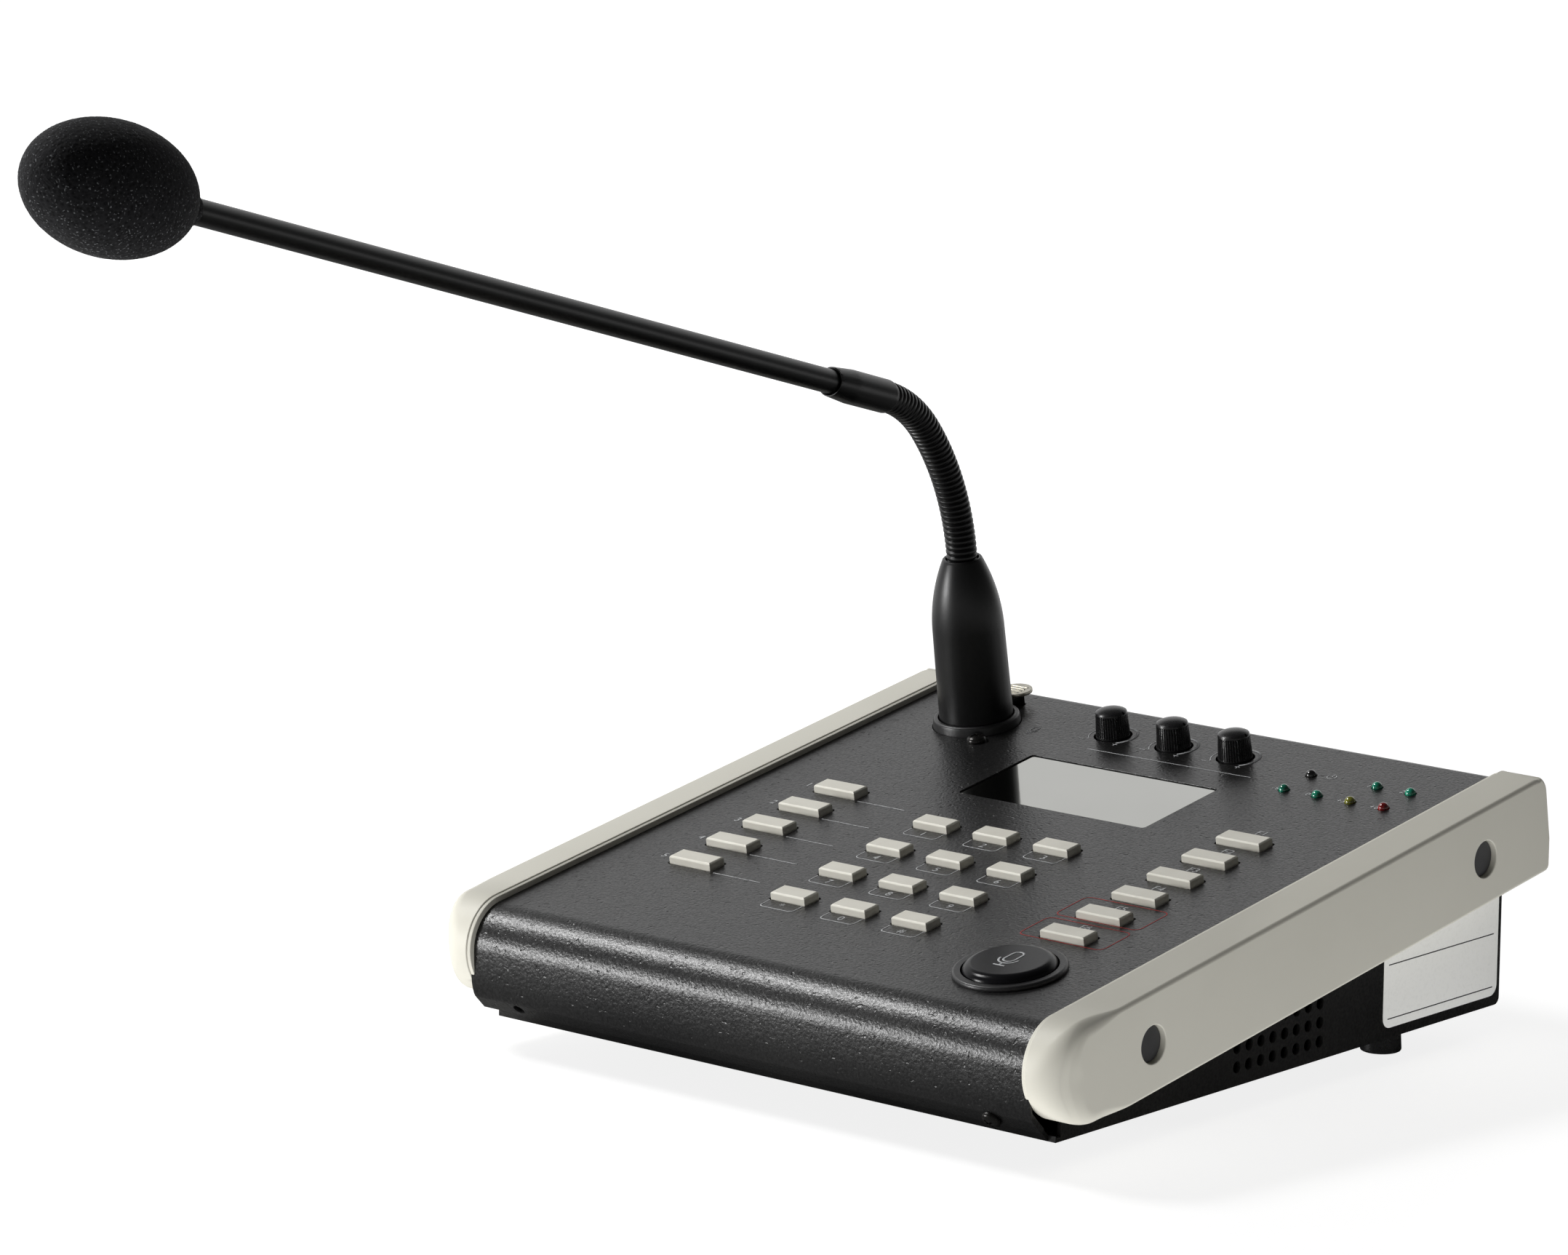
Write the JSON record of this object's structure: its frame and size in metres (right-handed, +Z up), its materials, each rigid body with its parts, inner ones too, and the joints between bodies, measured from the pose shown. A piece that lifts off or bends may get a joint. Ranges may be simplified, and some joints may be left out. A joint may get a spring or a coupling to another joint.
{
  "type": "paging call station",
  "caption": "Desk call station with a sloped black steel console, pale end panels, gooseneck microphone, keypad, display, knobs and a talk button.",
  "frame": {"origin": "on the desk, under the middle of the tray's floor", "axes": "+X to the right as the user sits, +Y to the rear, +Z up"},
  "size_m": [0.208, 0.3857, 0.2618],
  "materials": {
    "coated_steel": "black wrinkle powder coat",
    "pale_moulding": "pale warm grey, fine grain",
    "foot_rubber": "black, smooth",
    "screw_steel": "zinc plated",
    "black_screw": "blackened",
    "black_plastic": "matte black",
    "gloss_black": "gloss black",
    "circuit_board": "green solder mask",
    "pillar_brass": "turned",
    "window_glass": "dark tinted, glossy",
    "display_body": "dark",
    "lamp_green": "tinted lens",
    "lamp_yellow": "tinted lens",
    "lamp_red": "tinted lens",
    "lamp_dark": "dark lens",
    "latch_metal": "satin",
    "satin_black": "satin black",
    "capsule_metal": "satin",
    "foam": "open-cell foam",
    "key_plastic": "cream white"
  },
  "bodies": {
    "console": {"top_cover": "coated_steel", "bottom_tray": "coated_steel", "left_end_panel": "pale_moulding", "right_end_panel": "pale_moulding", "feet": "foot_rubber", "cover_screws": "screw_steel", "end_panel_screws": "screw_steel", "end_panel_plugs": "black_plastic", "key_board": "circuit_board", "key_switches": "black_plastic", "board_pillars": "pillar_brass", "board_screws": "screw_steel", "display_window": "window_glass", "display_module": "display_body", "led_green": "lamp_green", "led_yellow": "lamp_yellow", "led_red": "lamp_red", "led_power": "lamp_dark", "potentiometers": "black_plastic", "talk_bezel": "gloss_black", "mic_socket": "black_plastic", "socket_screws": "black_screw", "mic_barrel": "satin_black", "main_board": "circuit_board", "line_socket": "black_plastic", "power_inlet": "black_plastic"},
    "line_key_1_body": {"line_key_1": "key_plastic"},
    "line_key_2_body": {"line_key_2": "key_plastic"},
    "line_key_3_body": {"line_key_3": "key_plastic"},
    "line_key_4_body": {"line_key_4": "key_plastic"},
    "line_key_5_body": {"line_key_5": "key_plastic"},
    "digit_key_1_body": {"digit_key_1": "key_plastic"},
    "digit_key_2_body": {"digit_key_2": "key_plastic"},
    "digit_key_3_body": {"digit_key_3": "key_plastic"},
    "digit_key_4_body": {"digit_key_4": "key_plastic"},
    "digit_key_5_body": {"digit_key_5": "key_plastic"},
    "digit_key_6_body": {"digit_key_6": "key_plastic"},
    "digit_key_7_body": {"digit_key_7": "key_plastic"},
    "digit_key_8_body": {"digit_key_8": "key_plastic"},
    "digit_key_9_body": {"digit_key_9": "key_plastic"},
    "digit_key_star_body": {"digit_key_star": "key_plastic"},
    "digit_key_0_body": {"digit_key_0": "key_plastic"},
    "digit_key_hash_body": {"digit_key_hash": "key_plastic"},
    "function_key_1_body": {"function_key_1": "key_plastic"},
    "function_key_2_body": {"function_key_2": "key_plastic"},
    "function_key_3_body": {"function_key_3": "key_plastic"},
    "function_key_4_body": {"function_key_4": "key_plastic"},
    "function_key_5_body": {"function_key_5": "key_plastic"},
    "function_key_6_body": {"function_key_6": "key_plastic"},
    "talk_button_body": {"talk_button": "black_plastic"},
    "socket_latch_body": {"socket_latch": "latch_metal"},
    "volume_knob_1_body": {"volume_knob_1": "gloss_black"},
    "volume_knob_2_body": {"volume_knob_2": "gloss_black"},
    "volume_knob_3_body": {"volume_knob_3": "gloss_black"},
    "neck": {"gooseneck_flex": "satin_black"},
    "arm": {"gooseneck_collar": "satin_black", "gooseneck_rod": "satin_black", "mic_capsule": "capsule_metal", "windscreen": "foam"}
  },
  "joints": [
    {"name": "line_key_1_press", "type": "slide", "parent": "console", "child": "line_key_1_body", "axis": [0, 0.1599, -0.9871], "range_m": [0, 0.0008], "stiffness_N_per_m": 500, "springref_m": -0.0006},
    {"name": "line_key_2_press", "type": "slide", "parent": "console", "child": "line_key_2_body", "axis": [0, 0.1599, -0.9871], "range_m": [0, 0.0008], "stiffness_N_per_m": 500, "springref_m": -0.0006},
    {"name": "line_key_3_press", "type": "slide", "parent": "console", "child": "line_key_3_body", "axis": [0, 0.1599, -0.9871], "range_m": [0, 0.0008], "stiffness_N_per_m": 500, "springref_m": -0.0006},
    {"name": "line_key_4_press", "type": "slide", "parent": "console", "child": "line_key_4_body", "axis": [0, 0.1599, -0.9871], "range_m": [0, 0.0008], "stiffness_N_per_m": 500, "springref_m": -0.0006},
    {"name": "line_key_5_press", "type": "slide", "parent": "console", "child": "line_key_5_body", "axis": [0, 0.1599, -0.9871], "range_m": [0, 0.0008], "stiffness_N_per_m": 500, "springref_m": -0.0006},
    {"name": "digit_key_1_press", "type": "slide", "parent": "console", "child": "digit_key_1_body", "axis": [0, 0.1599, -0.9871], "range_m": [0, 0.0008], "stiffness_N_per_m": 500, "springref_m": -0.0006},
    {"name": "digit_key_2_press", "type": "slide", "parent": "console", "child": "digit_key_2_body", "axis": [0, 0.1599, -0.9871], "range_m": [0, 0.0008], "stiffness_N_per_m": 500, "springref_m": -0.0006},
    {"name": "digit_key_3_press", "type": "slide", "parent": "console", "child": "digit_key_3_body", "axis": [0, 0.1599, -0.9871], "range_m": [0, 0.0008], "stiffness_N_per_m": 500, "springref_m": -0.0006},
    {"name": "digit_key_4_press", "type": "slide", "parent": "console", "child": "digit_key_4_body", "axis": [0, 0.1599, -0.9871], "range_m": [0, 0.0008], "stiffness_N_per_m": 500, "springref_m": -0.0006},
    {"name": "digit_key_5_press", "type": "slide", "parent": "console", "child": "digit_key_5_body", "axis": [0, 0.1599, -0.9871], "range_m": [0, 0.0008], "stiffness_N_per_m": 500, "springref_m": -0.0006},
    {"name": "digit_key_6_press", "type": "slide", "parent": "console", "child": "digit_key_6_body", "axis": [0, 0.1599, -0.9871], "range_m": [0, 0.0008], "stiffness_N_per_m": 500, "springref_m": -0.0006},
    {"name": "digit_key_7_press", "type": "slide", "parent": "console", "child": "digit_key_7_body", "axis": [0, 0.1599, -0.9871], "range_m": [0, 0.0008], "stiffness_N_per_m": 500, "springref_m": -0.0006},
    {"name": "digit_key_8_press", "type": "slide", "parent": "console", "child": "digit_key_8_body", "axis": [0, 0.1599, -0.9871], "range_m": [0, 0.0008], "stiffness_N_per_m": 500, "springref_m": -0.0006},
    {"name": "digit_key_9_press", "type": "slide", "parent": "console", "child": "digit_key_9_body", "axis": [0, 0.1599, -0.9871], "range_m": [0, 0.0008], "stiffness_N_per_m": 500, "springref_m": -0.0006},
    {"name": "digit_key_star_press", "type": "slide", "parent": "console", "child": "digit_key_star_body", "axis": [0, 0.1599, -0.9871], "range_m": [0, 0.0008], "stiffness_N_per_m": 500, "springref_m": -0.0006},
    {"name": "digit_key_0_press", "type": "slide", "parent": "console", "child": "digit_key_0_body", "axis": [0, 0.1599, -0.9871], "range_m": [0, 0.0008], "stiffness_N_per_m": 500, "springref_m": -0.0006},
    {"name": "digit_key_hash_press", "type": "slide", "parent": "console", "child": "digit_key_hash_body", "axis": [0, 0.1599, -0.9871], "range_m": [0, 0.0008], "stiffness_N_per_m": 500, "springref_m": -0.0006},
    {"name": "function_key_1_press", "type": "slide", "parent": "console", "child": "function_key_1_body", "axis": [0, 0.1599, -0.9871], "range_m": [0, 0.0008], "stiffness_N_per_m": 500, "springref_m": -0.0006},
    {"name": "function_key_2_press", "type": "slide", "parent": "console", "child": "function_key_2_body", "axis": [0, 0.1599, -0.9871], "range_m": [0, 0.0008], "stiffness_N_per_m": 500, "springref_m": -0.0006},
    {"name": "function_key_3_press", "type": "slide", "parent": "console", "child": "function_key_3_body", "axis": [0, 0.1599, -0.9871], "range_m": [0, 0.0008], "stiffness_N_per_m": 500, "springref_m": -0.0006},
    {"name": "function_key_4_press", "type": "slide", "parent": "console", "child": "function_key_4_body", "axis": [0, 0.1599, -0.9871], "range_m": [0, 0.0008], "stiffness_N_per_m": 500, "springref_m": -0.0006},
    {"name": "function_key_5_press", "type": "slide", "parent": "console", "child": "function_key_5_body", "axis": [0, 0.1599, -0.9871], "range_m": [0, 0.0008], "stiffness_N_per_m": 500, "springref_m": -0.0006},
    {"name": "function_key_6_press", "type": "slide", "parent": "console", "child": "function_key_6_body", "axis": [0, 0.1599, -0.9871], "range_m": [0, 0.0008], "stiffness_N_per_m": 500, "springref_m": -0.0006},
    {"name": "talk_press", "type": "slide", "parent": "console", "child": "talk_button_body", "axis": [0, 0.1599, -0.9871], "range_m": [0, 0.002], "stiffness_N_per_m": 600, "springref_m": -0.0012},
    {"name": "latch_press", "type": "slide", "parent": "console", "child": "socket_latch_body", "axis": [0, 0.1599, -0.9871], "range_m": [0, 0.0015], "stiffness_N_per_m": 800, "springref_m": -0.001},
    {"name": "volume_knob_1_turn", "type": "hinge", "parent": "console", "child": "volume_knob_1_body", "pos_m": [-0.0224, 0.0737, 0.06652], "axis": [0, -0.1599, 0.9871], "range_deg": [-140, 140]},
    {"name": "volume_knob_2_turn", "type": "hinge", "parent": "console", "child": "volume_knob_2_body", "pos_m": [-0.00175, 0.0737, 0.06652], "axis": [0, -0.1599, 0.9871], "range_deg": [-140, 140]},
    {"name": "volume_knob_3_turn", "type": "hinge", "parent": "console", "child": "volume_knob_3_body", "pos_m": [0.0189, 0.0737, 0.06652], "axis": [0, -0.1599, 0.9871], "range_deg": [-140, 140]},
    {"name": "neck_swing", "type": "hinge", "parent": "console", "child": "neck", "pos_m": [-0.0633, 0.05818, 0.11233], "axis": [0, -0.1599, 0.9871], "range_deg": [-60, 60]},
    {"name": "neck_bend", "type": "hinge", "parent": "neck", "child": "arm", "pos_m": [-0.0633, 0.04719, 0.14191], "axis": [1, 0, 0], "range_deg": [-60, 30], "deforming": ["gooseneck_flex"]}
  ]
}
